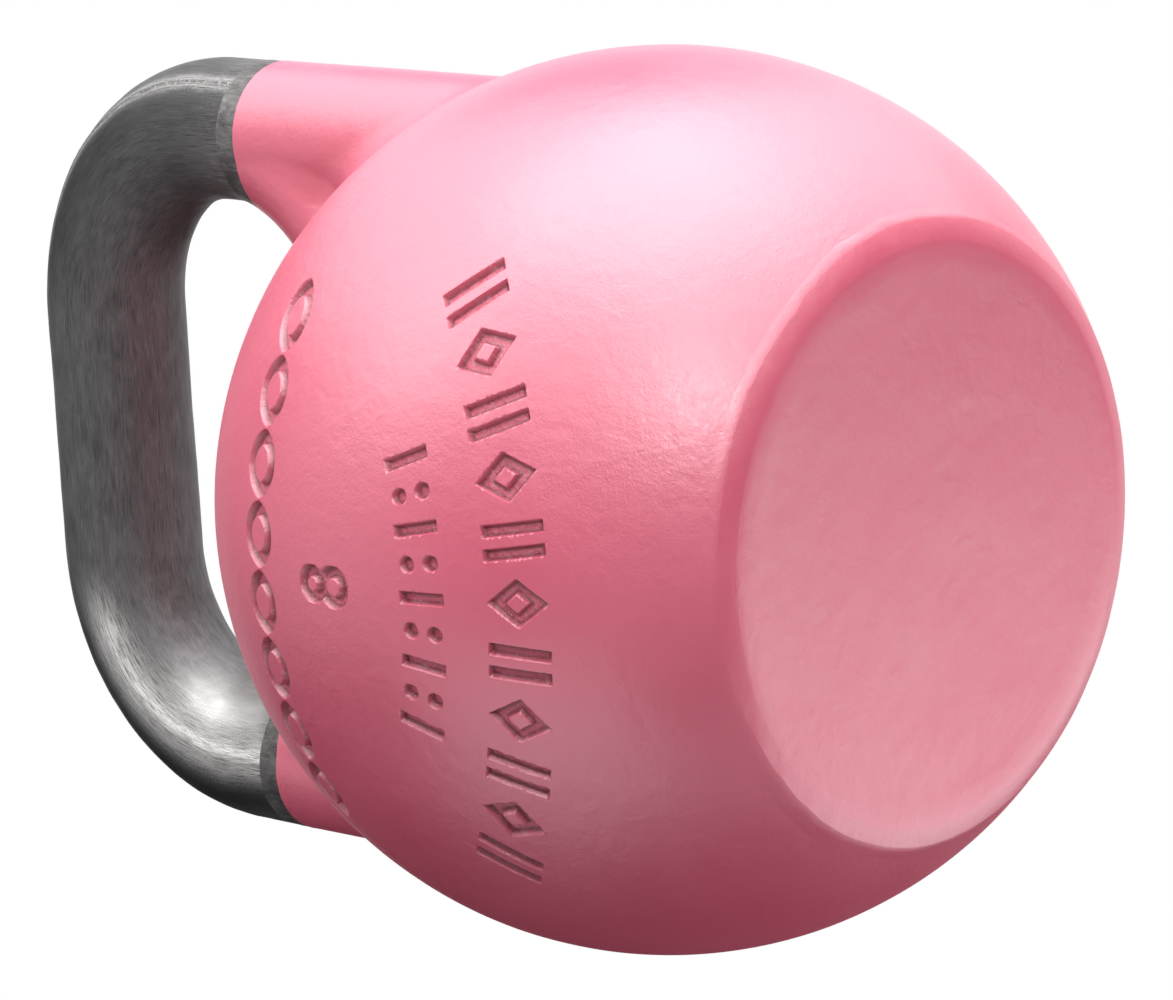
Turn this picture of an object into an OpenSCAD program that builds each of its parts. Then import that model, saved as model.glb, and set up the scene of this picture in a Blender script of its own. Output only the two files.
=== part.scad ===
// Kettlebell: a hollow steel ball with a flat foot and two horns, a bare round grip bar set into the horns, and
// the trim weight that is bolted to the inside of the base plate. Upright, with the foot's centre at the origin.

/* [Ball] */
// Diameter of the ball
ball_d = 210; // [206:1:214]
// Height of the ball's centre above the foot
ball_z = 79.5; // [78.5:0.5:81]
// Thickness of the ball's wall
wall = 4; // [3:0.5:6]
// Radius of the flat foot
foot_r = 65.6; // [65:0.1:66]
// Height of the bevel round the foot
foot_bevel_h = 2.1; // [2:0.1:2.3]
// Radius of the ball at the top of that bevel
foot_bevel_r = 71; // [70.8:0.1:71.2]

/* [Handle] */
// Height of the whole kettlebell, foot to top of the grip
total_h = 284; // [280:1:288]
// Diameter of the grip bar
grip_d = 35; // [33:1:36]
// Width over both legs of the handle
handle_w = 192; // [188:1:196]
// Radius of the bends, on the bar's centreline
bend_r = 48; // [44:1:52]
// Straight length of each leg, from its bend to the top of its horn
leg_straight = 18; // [14:0.5:20]
// Radius of the inside curve where a leg flares into the ball
horn_fillet = 35; // [33:0.5:35.5]

/* [Joint between handle and horn] */
// Diameter of the spigot turned on each end of the bar
spigot_d = 24; // [20:1:26]
// Depth that the spigot reaches into its horn
spigot_len = 30; // [20:1:32]
// Slack all round the spigot in its socket
socket_gap = 0.05; // [0.05:0.05:0.2]
// Height of the weld on the surface of the leg
weld_h = 6; // [4:1:8]
// Height of the weld at its root, against the spigot
weld_root_h = 1.5; // [1:0.5:2]

/* [Base] */
// Thickness of the base plate
plate_t = 6; // [5.5:0.5:7]
// Radius of the base plate at the foot
plate_foot_r = 63.4; // [63:0.1:64]
// Radius of the base plate where it meets its seat
plate_r = 66; // [65.5:0.5:66.5]
// Radius of the shallow dish in the base plate
dish_r = 61; // [56:1:62]
// Depth of that dish
dish_depth = 1.8; // [0.5:0.1:2.5]
// Height of the weld groove's root above the foot
groove_h = 4.5; // [4:0.5:5]
// Radius of the opening above the seat
opening_r = 58; // [54:1:60]
// Thickness of the inside rim that the plate seats on
rim_t = 5; // [4:1:8]

/* [Recessed marks] */
// Depth of the marks
mark_depth = 1.6; // [1:0.1:1.8]
// Width of a stroke
stroke = 2.8; // [2:0.1:3.2]
// Height of the centre that the two curved rows turn about, above the ball's centre
row_centre_z = 60; // [56:1:64]
// Radius of the long row of lozenges and bars
long_row_r = 103; // [100:1:106]
// Height of that row's marks
long_row_h = 13; // [11:1:14]
// Angle from one mark of that row to the next
long_row_step = 7.6; // [7:0.1:8]
// Radius of the short row of dots and bars
short_row_r = 81; // [79:1:83]
// Angle from one mark of that row to the next
short_row_step = 5.4; // [5:0.1:6]
// Height of the row of leaves above the ball's centre
leaf_row_z = 33; // [31:1:35]
// Length of one leaf
leaf_l = 15; // [13:1:16]
// Width of one leaf
leaf_w = 12; // [10:1:13]
// Height of the numeral's centre above the ball's centre
numeral_z = 7.5; // [6:0.5:9]

/* [Ballast] */
// Diameter of the trim discs
disc_d = 92; // [70:1:100]
// Thickness of one trim disc
disc_t = 5.4; // [4:0.1:9]
// Thickness of the rubber pad
pad_t = 3; // [2:1:5]
// Diameter of the stud
stud_d = 12; // [10:1:12]
// Diameter of the holes that the stud passes through
clearance_d = 13; // [13:1:14]
// Diameter of the washer
washer_d = 24; // [22:1:28]
// Thickness of the washer
washer_t = 2.5; // [2:0.5:3]
// Width of the nut across its flats
nut_af = 19; // [17:1:19]
// Height of the nut
nut_h = 10; // [8:1:12]

/* [Hidden] */
$fn = 96;

ball_r = ball_d / 2;
grip_r = grip_d / 2;
spigot_r = spigot_d / 2;
grip_z = total_h - grip_r;
leg_x = handle_w / 2 - grip_r;
bar_half = leg_x - bend_r;
bend_z = grip_z - bend_r;
horn_top_z = bend_z - leg_straight;
foot_bevel_slope = (foot_bevel_r - foot_r) / foot_bevel_h;
dish_curve_r = (dish_r * dish_r + dish_depth * dish_depth) / (2 * dish_depth);

// The bend that flares a leg into the ball starts inside the leg and ends inside the ball, by root_sink at each.
root_sink = 0.5;
root_bend_r = horn_fillet + grip_r;
root_bend_x = leg_x - root_bend_r;
root_bend_z = ball_z + sqrt(pow(ball_r + horn_fillet, 2) - pow(root_bend_x, 2));
root_bend_angle = 90 + asin(root_bend_x / (ball_r + horn_fillet));

disc_z = plate_t + pad_t;
washer_z = disc_z + 2 * disc_t;
nut_z = washer_z + washer_t;
stud_top_z = nut_z + nut_h + 3;

over = 1;

// Puts what follows on the right leg for side = 1, and on the left leg for side = -1.
module on_leg(side, z) {
    translate([side * leg_x, 0, z]) children();
}

// A quarter of the handle's bend, or a horn's root: a round bar bent about the Y axis.
module bent_bar(radius, bar_r, from, sweep) {
    rotate([90, 0, 0]) rotate([0, 0, from])
        rotate_extrude(angle = sweep) translate([radius, 0]) circle(r = bar_r);
}

// The outside of the ball, cut flat and bevelled at the foot.
module ball_outside() {
    intersection() {
        translate([0, 0, ball_z]) sphere(r = ball_r, $fn = 180);
        cylinder(h = 2 * ball_r, r1 = foot_r, r2 = foot_r + 2 * ball_r * foot_bevel_slope);
    }
}

// The V groove round the foot between the base plate's bevelled edge and the shell's lip.
module base_groove() {
    rotate_extrude() polygon([
        [plate_r, groove_h],
        [plate_foot_r, 0],
        [plate_foot_r, -over],
        [foot_bevel_r + 8, -over],
        [foot_bevel_r + 8, 0.4],
        [foot_bevel_r + 3, 2.4]
    ]);
}

// The hollow inside of the ball, down to the rim that the base plate seats on.
module ball_inside() {
    intersection() {
        translate([0, 0, ball_z]) sphere(r = ball_r - wall, $fn = 180);
        translate([0, 0, plate_t + rim_t]) cylinder(h = 2 * ball_r, r = ball_r);
    }
    translate([0, 0, plate_t - over]) cylinder(h = rim_t + 2 * over, r = opening_r);
    translate([0, 0, -over]) cylinder(h = plate_t + over, r = plate_r);
}

// The grip bar's shape at its lower end: the spigot, and the bevel that is filled by the weld.
module leg_bevel() {
    translate([0, 0, weld_root_h]) cylinder(h = weld_h - weld_root_h, r1 = spigot_r, r2 = grip_r);
    translate([0, 0, -spigot_len]) cylinder(h = spigot_len + weld_root_h, r = spigot_r);
}

// 2-D marks, drawn as they show from the front, with the ball's centre as their origin.

module bar_mark(w, h) {
    square([w, h], center = true);
}

module lozenge_mark(w, h) {
    polygon([[0, -h / 2], [w / 2, 0], [0, h / 2], [-w / 2, 0]]);
}

module lozenge_ring_mark(w, h) {
    difference() {
        lozenge_mark(w, h);
        lozenge_mark(w - 2.4 * stroke, h - 3 * stroke);
    }
}

module leaf_mark(length, width) {
    arc_r = (length * length + width * width) / (4 * width);
    intersection() {
        translate([0, arc_r - width / 2]) circle(r = arc_r);
        translate([0, width / 2 - arc_r]) circle(r = arc_r);
    }
}

module leaf_ring_mark() {
    difference() {
        leaf_mark(leaf_l, leaf_w);
        leaf_mark(leaf_l - 2.4 * stroke, leaf_w - 2 * stroke);
    }
}

module ring_mark(d) {
    difference() {
        circle(d = d);
        circle(d = d - 2 * stroke);
    }
}

// Places what follows on a row that curves about row_centre_z, at an angle from its lowest point.
module on_row(radius, angle) {
    translate([0, row_centre_z]) rotate(angle) translate([0, -radius]) children();
}

module long_row() {
    for (i = [-5 : 5]) on_row(long_row_r, i * long_row_step) {
        if (i % 2 == 0) lozenge_ring_mark(11, long_row_h);
        else for (side = [-1, 1]) translate([side * 2.6, 0]) bar_mark(stroke, long_row_h);
    }
}

module short_row() {
    for (i = [-4 : 4]) on_row(short_row_r, i * short_row_step) {
        if (i % 2 == 0) bar_mark(stroke, 11);
        else for (side = [-1, 1]) translate([0, side * 3]) circle(d = 1.3 * stroke);
    }
}

module leaf_row() {
    for (i = [-3.5 : 1 : 3.5]) translate([i * (leaf_l + 0.6), leaf_row_z]) leaf_ring_mark();
}

// The weight numeral, 8: one ring above the other.
module numeral() {
    translate([0, numeral_z + 3.7]) ring_mark(8.8);
    translate([0, numeral_z - 3.3]) ring_mark(9.7);
}

module marks() {
    difference() {
        translate([0, 0, ball_z]) rotate([90, 0, 0]) linear_extrude(ball_r + over) {
            long_row();
            short_row();
            leaf_row();
            numeral();
        }
        translate([0, 0, ball_z]) sphere(r = ball_r - mark_depth, $fn = 180);
    }
}

// One leg from inside the ball up to the bend, with its flare. It is shared out to the horn, the weld and the bar.
module whole_leg(side) {
    translate([side * leg_x, 0, ball_z + grip_d]) cylinder(h = bend_z - ball_z - grip_d, r = grip_r);
    mirror([side < 0 ? 1 : 0, 0, 0]) translate([root_bend_x, 0, root_bend_z])
        bent_bar(root_bend_r, grip_r - root_sink, -root_bend_angle, root_bend_angle);
}

// The stretch of a leg between two heights.
module leg_between(side, from, to) {
    intersection() {
        whole_leg(side);
        translate([-handle_w, -grip_d, from]) cube([2 * handle_w, 2 * grip_d, to - from]);
    }
}

module ball_shell() {
    color([0.91, 0.58, 0.67]) difference() {
        union() {
            ball_outside();
            for (side = [-1, 1]) leg_between(side, ball_z, horn_top_z);
        }
        ball_inside();
        base_groove();
        marks();
        for (side = [-1, 1]) on_leg(side, horn_top_z - spigot_len - over)
            cylinder(h = spigot_len + 2 * over, r = spigot_r + socket_gap);
    }
}

module handle() {
    color([0.34, 0.34, 0.35]) union() {
        translate([-bar_half, 0, grip_z]) rotate([0, 90, 0]) cylinder(h = 2 * bar_half, r = grip_r);
        for (side = [-1, 1]) {
            mirror([side < 0 ? 1 : 0, 0, 0]) translate([bar_half, 0, bend_z]) bent_bar(bend_r, grip_r, 0, 90);
            leg_between(side, horn_top_z + weld_h, bend_z);
            on_leg(side, horn_top_z) leg_bevel();
        }
    }
}

module handle_weld(side) {
    color([0.45, 0.45, 0.46]) difference() {
        leg_between(side, horn_top_z, horn_top_z + weld_h);
        on_leg(side, horn_top_z) leg_bevel();
    }
}

module handle_weld_left() {
    handle_weld(-1);
}

module handle_weld_right() {
    handle_weld(1);
}

// The shallow hollow of the foot: the top of a very large ball.
module foot_dish() {
    rotate_extrude() intersection() {
        translate([0, dish_depth - dish_curve_r]) circle(r = dish_curve_r, $fn = 2400);
        translate([0, -over]) square([plate_foot_r, over + dish_depth]);
    }
}

module base_plate() {
    color([0.86, 0.52, 0.61]) difference() {
        union() {
            cylinder(h = groove_h, r1 = plate_foot_r, r2 = plate_r);
            translate([0, 0, groove_h]) cylinder(h = plate_t - groove_h, r = plate_r);
        }
        foot_dish();
    }
}

module base_weld() {
    color([0.89, 0.55, 0.64]) intersection() {
        ball_outside();
        base_groove();
    }
}

module ballast_stud() {
    color([0.62, 0.62, 0.64]) translate([0, 0, plate_t]) cylinder(h = stud_top_z - plate_t, r = stud_d / 2);
}

// A flat ring on the stud, from height z.
module stud_ring(d, t, z) {
    translate([0, 0, z]) difference() {
        cylinder(h = t, r = d / 2);
        translate([0, 0, -over]) cylinder(h = t + 2 * over, r = clearance_d / 2);
    }
}

module ballast_pad() {
    color([0.13, 0.13, 0.13]) stud_ring(disc_d, pad_t, plate_t);
}

module ballast_disc_1() {
    color([0.5, 0.5, 0.52]) stud_ring(disc_d, disc_t, disc_z);
}

module ballast_disc_2() {
    color([0.5, 0.5, 0.52]) stud_ring(disc_d, disc_t, disc_z + disc_t);
}

module ballast_washer() {
    color([0.7, 0.7, 0.72]) stud_ring(washer_d, washer_t, washer_z);
}

module ballast_nut() {
    color([0.66, 0.66, 0.68]) translate([0, 0, nut_z]) difference() {
        cylinder(h = nut_h, r = nut_af / sqrt(3), $fn = 6);
        translate([0, 0, -over]) cylinder(h = nut_h + 2 * over, r = stud_d / 2);
    }
}

ball_shell();
handle();
handle_weld_left();
handle_weld_right();
base_plate();
base_weld();
ballast_stud();
ballast_pad();
ballast_disc_1();
ballast_disc_2();
ballast_washer();
ballast_nut();
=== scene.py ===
"""Kettlebell: detailed meshes, materials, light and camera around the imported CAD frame.

Meshes are worked out in millimetres, in the row's own frame, and stored in metres.
"""

import itertools
import math

import bmesh
import bpy
import numpy as np
from mathutils import Matrix, Vector


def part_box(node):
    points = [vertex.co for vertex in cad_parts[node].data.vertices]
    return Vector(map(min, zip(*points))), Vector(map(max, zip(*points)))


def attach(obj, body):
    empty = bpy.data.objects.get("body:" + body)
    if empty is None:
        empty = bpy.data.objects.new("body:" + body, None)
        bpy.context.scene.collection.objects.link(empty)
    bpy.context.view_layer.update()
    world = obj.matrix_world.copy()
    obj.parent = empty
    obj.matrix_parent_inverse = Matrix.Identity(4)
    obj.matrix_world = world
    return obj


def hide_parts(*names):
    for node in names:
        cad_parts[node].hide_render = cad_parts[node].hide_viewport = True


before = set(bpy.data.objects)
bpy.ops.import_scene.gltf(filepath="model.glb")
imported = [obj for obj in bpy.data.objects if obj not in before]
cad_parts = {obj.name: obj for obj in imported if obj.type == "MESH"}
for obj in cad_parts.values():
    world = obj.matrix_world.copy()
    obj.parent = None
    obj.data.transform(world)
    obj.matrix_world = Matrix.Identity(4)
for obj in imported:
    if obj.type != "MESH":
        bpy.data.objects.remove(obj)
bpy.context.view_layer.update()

MM = 0.001


# ---------------------------------------------------------------- sizes, in millimetres

def box_mm(node):
    """Lowest and highest corner of a CAD node."""
    low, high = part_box(node)
    return np.array(low) / MM, np.array(high) / MM


shell_high = box_mm("ball_shell")[1]
handle_low, handle_high = box_mm("handle")

BALL_R = round(shell_high[0])
BALL_Z = 79.5
BALL_CENTRE = np.array([0.0, 0.0, BALL_Z])
WALL = 4.0
HORN_TOP = round(shell_high[2], 1)
TOTAL_H = round(handle_high[2], 1)
GRIP_R = round((handle_high[1] - handle_low[1]) / 2, 1)
LEG_X = round(handle_high[0], 1) - GRIP_R
BEND_R = 48.0
BAR_HALF = LEG_X - BEND_R
GRIP_Z = TOTAL_H - GRIP_R
BEND_Z = GRIP_Z - BEND_R
HORN_FILLET = 14.0
LEG_END = BALL_Z + 30

# The flare of each leg into the ball: a second bar, bent, that leaves the leg at FLARE_Z.
FLARE_R = 52.5
FLARE_BAR_R = GRIP_R - 0.5
FLARE_X = LEG_X - FLARE_R
FLARE_Z = BALL_Z + math.sqrt((BALL_R + FLARE_R - GRIP_R) ** 2 - FLARE_X ** 2)
FLARE_FILLET = 10.0

WELD_TOP = round(box_mm("handle_weld_left")[1][2], 1)
WELD_ROOT = HORN_TOP + 1.5
SPIGOT_R = 12.0
SOCKET_R = 12.05
SPIGOT_FOOT = round(handle_low[2], 1)
SOCKET_FOOT = SPIGOT_FOOT - 1.0

# The base weld runs from FOOT_R, on the floor, out to LIP_R, on the ball, and laps the ball by PAST_EDGE.
# EDGE_SLOPE is how straight its bevel is. On the side at GROUND_TURN it is ground back by GROUND_BACK.
FOOT_R = 65.6
LIP_R = 71.0
LIP_Z = 2.1
EDGE_SLOPE = 0.5
GROUND_BACK = 1.6
GROUND_TURN = math.radians(225)
PAST_EDGE = 1.7
GROOVE_Z = 4.5
PLATE_FOOT_R = 63.4
PLATE_R = round(box_mm("base_plate")[1][0], 1)
PLATE_T = round(box_mm("base_plate")[1][2], 1)
OPENING_R = 58.0
DISH_R = 61.0
DISH_DEPTH = 1.8
RIM_TOP = PLATE_T + 5.0

# The seam along each bend: how far round the bar from its outside, how wide, how proud and how far ground.
LEFT_SEAM = (math.radians(96), 2.0, 0.6, 8.0)
RIGHT_SEAM = (math.radians(40), 1.0, 0.45, 3.0)

# Painted highlight: the patch of the left bend that is coloured light where it catches the lamps, and made
# smoother and more metallic: how far round the bar and how wide, how high, how long.
HIGHLIGHT_TURN = math.radians(132)
HIGHLIGHT_SPREAD = 0.6
HIGHLIGHT_Z = 227.0
HIGHLIGHT_REACH = 19.0

# Painted shade: steel coloured dark beside the seams, where the left bend turns from the light and the right
# bend would catch a highlight, and a thin dark line along the right seam, as (distance from the seam,
# reach).
LEFT_SHADE_BAND = (-11.5, 6.5)
RIGHT_SHADE_BAND = (6.0, 11.0)
RIGHT_DARK_LINE = (0.0, 1.3)

# The recessed marks, laid out as in the CAD model. Their walls run from MARK_LIP outside the outline to
# MARK_FOOT inside it, where the corner is coloured dark as painted shade, to a distance of about the shade
# reach below.
MARK_DEPTH = 1.6
MARK_LIP = 0.12
MARK_FOOT = -0.5
MARK_SHADE_REACH = 0.38
STROKE = 2.8
ROW_CENTRE_Z = 60.0
LONG_ROW_R = 103.0
LONG_ROW_H = 13.0
LONG_ROW_STEP = 7.6
LOZENGE_W = 11.0
BAR_OFFSET = 2.6
SHORT_ROW_R = 81.0
SHORT_ROW_H = 11.0
SHORT_ROW_STEP = 5.4
DOT_OFFSET = 3.0
DOT_D = 1.3 * STROKE
LEAF_ROW_Z = 33.0
LEAF_L = 15.0
LEAF_W = 12.0
LEAF_GAP = 0.6
NUMERAL_Z = 7.5
NUMERAL_RINGS = ((3.7, 8.8), (-3.3, 9.7))

GRID_STEP = 1.25
FINE_CUTS = 3


# ---------------------------------------------------------------- small mesh helpers

def new_object(name, verts, faces):
    """A mesh object from millimetre vertices."""
    mesh = bpy.data.meshes.new(name)
    mesh.from_pydata((np.asarray(verts) * MM).tolist(), [], [list(map(int, f)) for f in faces])
    mesh.polygons.foreach_set("use_smooth", [True] * len(mesh.polygons))
    mesh.update()
    piece = bpy.data.objects.new(name, mesh)
    bpy.context.collection.objects.link(piece)
    return piece


def mark_sharp(piece, degrees):
    """Edges that turn by more than this angle stay crisp."""
    bm = bmesh.new()
    bm.from_mesh(piece.data)
    for edge in bm.edges:
        edge.smooth = len(edge.link_faces) < 2 or edge.calc_face_angle(0.0) < math.radians(degrees)
    bm.to_mesh(piece.data)
    bm.free()


def ring_faces(rows, count, closed=False):
    """Quads between rows of count points each, every row a ring. Closed joins the last row to the first."""
    faces = []
    for row in range(rows if closed else rows - 1):
        a = row * count
        b = (row + 1) % rows * count
        for i in range(count):
            j = (i + 1) % count
            faces.append((a + i, a + j, b + j, b + i))
    return faces


def end_faces(rows, count):
    """The two flat ends of an open run of rings."""
    return [tuple(range(count))[::-1], tuple(range((rows - 1) * count, rows * count))]


def lathe(name, profile, segments=360, closed=True):
    """A turned piece about Z. profile is (radius, z) points, closed back to its first point when closed."""
    angles = np.linspace(0, 2 * math.pi, segments, endpoint=False)
    verts = []
    for radius, z in profile:
        verts.append(np.stack([radius * np.cos(angles), radius * np.sin(angles), np.full(segments, z)], 1))
    faces = ring_faces(len(profile), segments, closed)
    if not closed:
        faces += end_faces(len(profile), segments)
    return new_object(name, np.concatenate(verts), faces)


def get_points(piece):
    """The piece's vertices in millimetres."""
    co = np.empty(len(piece.data.vertices) * 3)
    piece.data.vertices.foreach_get("co", co)
    return co.reshape(-1, 3) / MM


def set_points(piece, co):
    piece.data.vertices.foreach_set("co", (co * MM).ravel())


def recalc_normals(piece):
    bm = bmesh.new()
    bm.from_mesh(piece.data)
    bmesh.ops.recalc_face_normals(bm, faces=bm.faces)
    bm.to_mesh(piece.data)
    bm.free()


def waves(points, length, count, seed):
    """Smooth noise from -1 to 1: sines of about the given wavelength, in seeded directions."""
    rng = np.random.default_rng(seed)
    total = np.zeros(len(points))
    for _ in range(count):
        direction = rng.normal(size=3)
        direction /= np.linalg.norm(direction)
        number = 2 * math.pi / (length * rng.uniform(0.7, 1.5))
        total += np.sin(points @ direction * number + rng.uniform(0, 2 * math.pi))
    return total / math.sqrt(count) / 1.6


# ---------------------------------------------------------------- the ball and its horns

def rounded_union(a, a_normal, b, b_normal, fillet):
    """The union of two distances, with a fillet that is widest where the surfaces meet squarely."""
    turn = 1 - np.sum(a_normal * b_normal, axis=1)
    blend = np.maximum(fillet * np.clip(turn, 0, 1), 1e-3)
    rounding = np.hypot(np.maximum(blend - a, 0), np.maximum(blend - b, 0))
    return np.maximum(blend, np.minimum(a, b)) - rounding


def leg_field(points):
    """Distance to the legs of the handle with their flares, and its direction."""
    side = np.sign(points[:, 0])
    x = np.abs(points[:, 0])
    y = points[:, 1]
    z = points[:, 2]
    straight = np.stack([x - LEG_X, y, np.zeros(len(x))], 1)
    turn = np.clip(np.arctan2(z - FLARE_Z, x - FLARE_X), -1.75, 0)
    bent = np.stack([x - FLARE_X - FLARE_R * np.cos(turn), y, z - FLARE_Z - FLARE_R * np.sin(turn)], 1)
    straight_reach = np.maximum(np.linalg.norm(straight, axis=1), 1e-6)
    bent_reach = np.maximum(np.linalg.norm(bent, axis=1), 1e-6)
    straight /= straight_reach[:, None]
    bent /= bent_reach[:, None]
    a = straight_reach - GRIP_R
    b = bent_reach - FLARE_BAR_R
    normal = np.where((a < b)[:, None], straight, bent)
    normal[:, 0] *= side
    return rounded_union(a, straight, b, bent, FLARE_FILLET), normal


def body_field(points):
    """Distance to the ball and its two horns, which run into the ball in a fillet."""
    offset = points - BALL_CENTRE
    radius = np.linalg.norm(offset, axis=1)
    ball_normal = offset / np.maximum(radius, 1e-6)[:, None]
    leg, leg_normal = leg_field(points)
    leg = np.maximum(leg, LEG_END - points[:, 2])
    return rounded_union(radius - BALL_R, ball_normal, leg, leg_normal, HORN_FILLET)


def out_to_leg(points, side):
    """Moves points level and away from a leg's axis, onto the surface of the leg and its flare."""
    axis = np.stack([np.full(len(points), side * LEG_X), np.zeros(len(points)), points[:, 2]], 1)
    away = points - axis
    away /= np.linalg.norm(away, axis=1)[:, None]
    for _ in range(6):
        points = points - away * leg_field(points)[0][:, None]
    return points


def project(points, field, rounds=3):
    """Moves points onto the surface where the field is zero."""
    points = points.copy()
    small = 0.02
    for _ in range(rounds):
        value = field(points)
        slope = np.empty_like(points)
        for axis in range(3):
            step = np.zeros(3)
            step[axis] = small
            slope[:, axis] = (field(points + step) - field(points - step)) / (2 * small)
        length = np.maximum(np.sum(slope * slope, axis=1), 0.25)
        points -= slope * (value / length)[:, None]
    return points


def surface_net(field, low, high, step):
    """A quad mesh of the surface where field is zero, from a grid of cells."""
    counts = [int(math.ceil((high[i] - low[i]) / step)) + 1 for i in range(3)]
    axes = [low[i] + step * np.arange(counts[i]) for i in range(3)]
    value = np.empty(counts)
    for i, x in enumerate(axes[0]):
        y, z = np.meshgrid(axes[1], axes[2], indexing="ij")
        layer = np.stack([np.full(y.size, x), y.ravel(), z.ravel()], 1)
        value[i] = field(layer).reshape(y.shape)
    inside = value < 0
    corner_total = np.zeros([c - 1 for c in counts], np.int8)
    for i, j, k in itertools.product((0, 1), repeat=3):
        corner_total += inside[i:counts[0] - 1 + i, j:counts[1] - 1 + j, k:counts[2] - 1 + k]
    active = (corner_total > 0) & (corner_total < 8)
    cells = np.argwhere(active)
    number = np.full(active.shape, -1)
    number[active] = np.arange(len(cells))

    total = np.zeros((len(cells), 3))
    crossings = np.zeros(len(cells))
    for axis in range(3):
        along = np.eye(3, dtype=int)[axis]
        for offset in itertools.product((0, 1), repeat=3):
            if offset[axis]:
                continue
            start = cells + offset
            end = start + along
            v0 = value[tuple(start.T)]
            v1 = value[tuple(end.T)]
            crossed = (v0 < 0) != (v1 < 0)
            part = np.where(crossed, v0 / np.where(crossed, v0 - v1, 1), 0)
            total += np.where(crossed[:, None], start + part[:, None] * along, 0)
            crossings += crossed
    verts = np.array(low) + step * total / crossings[:, None]

    quads = []
    for axis in range(3):
        u, v = [a for a in range(3) if a != axis]
        moved = np.moveaxis(inside, axis, 0)
        changed = np.argwhere(moved[:-1] != moved[1:])
        changed = changed[(changed[:, 1] > 0) & (changed[:, 2] > 0)]
        changed = changed[(changed[:, 1] < moved.shape[1] - 1) & (changed[:, 2] < moved.shape[2] - 1)]
        outward = moved[tuple(changed.T)]
        base = np.zeros_like(changed)
        base[:, axis] = changed[:, 0]
        base[:, u] = changed[:, 1]
        base[:, v] = changed[:, 2]
        corners = []
        for du, dv in ((-1, -1), (0, -1), (0, 0), (-1, 0)):
            cell = base.copy()
            cell[:, u] += du
            cell[:, v] += dv
            corners.append(number[tuple(cell.T)])
        quad = np.stack(corners, 1)
        flip = outward if axis != 1 else ~outward
        quad[~flip] = quad[~flip][:, ::-1]
        quads.append(quad)
    return verts, np.concatenate(quads)


def relax(verts, quads, field, rounds):
    """Evens the quads out along the surface."""
    edges = np.concatenate([quads[:, [0, 1]], quads[:, [1, 2]], quads[:, [2, 3]], quads[:, [3, 0]]])
    degree = np.bincount(edges.ravel(), minlength=len(verts)).astype(float)
    for _ in range(rounds):
        total = np.zeros_like(verts)
        for axis in range(3):
            total[:, axis] = np.bincount(edges[:, 0], verts[edges[:, 1], axis], len(verts))
            total[:, axis] += np.bincount(edges[:, 1], verts[edges[:, 0], axis], len(verts))
        verts = verts + 0.6 * (total / degree[:, None] - verts)
        verts = project(verts, field, 1)
    return project(verts, field, 2)


# ---------------------------------------------------------------- the recessed marks

def bar_mark(p, w, h):
    q = np.abs(p) - (w / 2, h / 2)
    return np.linalg.norm(np.maximum(q, 0), axis=1) + np.minimum(q.max(axis=1), 0)


def lozenge_mark(p, w, h):
    return (np.abs(p[:, 0]) / w + np.abs(p[:, 1]) / h - 0.5) * w * h / math.hypot(w, h)


def disc_mark(p, d):
    return np.linalg.norm(p, axis=1) - d / 2


def leaf_mark(p, length, width):
    arc_r = (length * length + width * width) / (4 * width)
    lift = arc_r - width / 2
    return np.maximum(disc_mark(p - (0, lift), 2 * arc_r), disc_mark(p + (0, lift), 2 * arc_r))


def lozenge_ring_mark(p, w, h):
    return np.maximum(lozenge_mark(p, w, h), -lozenge_mark(p, w - 2.4 * STROKE, h - 3 * STROKE))


def leaf_ring_mark(p):
    inner = leaf_mark(p, LEAF_L - 2.4 * STROKE, LEAF_W - 2 * STROKE)
    return np.maximum(leaf_mark(p, LEAF_L, LEAF_W), -inner)


def ring_mark(p, d):
    return np.maximum(disc_mark(p, d), -disc_mark(p, d - 2 * STROKE))


def on_row(p, radius, degrees):
    """Points as seen from a place on a row that curves about ROW_CENTRE_Z."""
    angle = math.radians(degrees)
    q = p - (0, ROW_CENTRE_Z)
    turned = np.stack([
        q[:, 0] * math.cos(angle) + q[:, 1] * math.sin(angle),
        q[:, 1] * math.cos(angle) - q[:, 0] * math.sin(angle),
    ], 1)
    return turned + (0, radius)


def mark_distance(points):
    """Distance to the nearest mark's outline, seen from the front: below zero inside it."""
    p = np.stack([points[:, 0], points[:, 2] - BALL_Z], 1)
    marks = []
    for i in range(-5, 6):
        q = on_row(p, LONG_ROW_R, i * LONG_ROW_STEP)
        if i % 2 == 0:
            marks.append(lozenge_ring_mark(q, LOZENGE_W, LONG_ROW_H))
        else:
            marks += [bar_mark(q - (side * BAR_OFFSET, 0), STROKE, LONG_ROW_H) for side in (-1, 1)]
    for i in range(-4, 5):
        q = on_row(p, SHORT_ROW_R, i * SHORT_ROW_STEP)
        if i % 2 == 0:
            marks.append(bar_mark(q, STROKE, SHORT_ROW_H))
        else:
            marks += [disc_mark(q - (0, side * DOT_OFFSET), DOT_D) for side in (-1, 1)]
    for i in range(8):
        marks.append(leaf_ring_mark(p - ((i - 3.5) * (LEAF_L + LEAF_GAP), LEAF_ROW_Z)))
    for rise, ring_d in NUMERAL_RINGS:
        marks.append(ring_mark(p - (0, NUMERAL_Z + rise), ring_d))
    distance = np.min(marks, axis=0)
    return np.where(points[:, 1] < 0, distance, 99.0)


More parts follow.
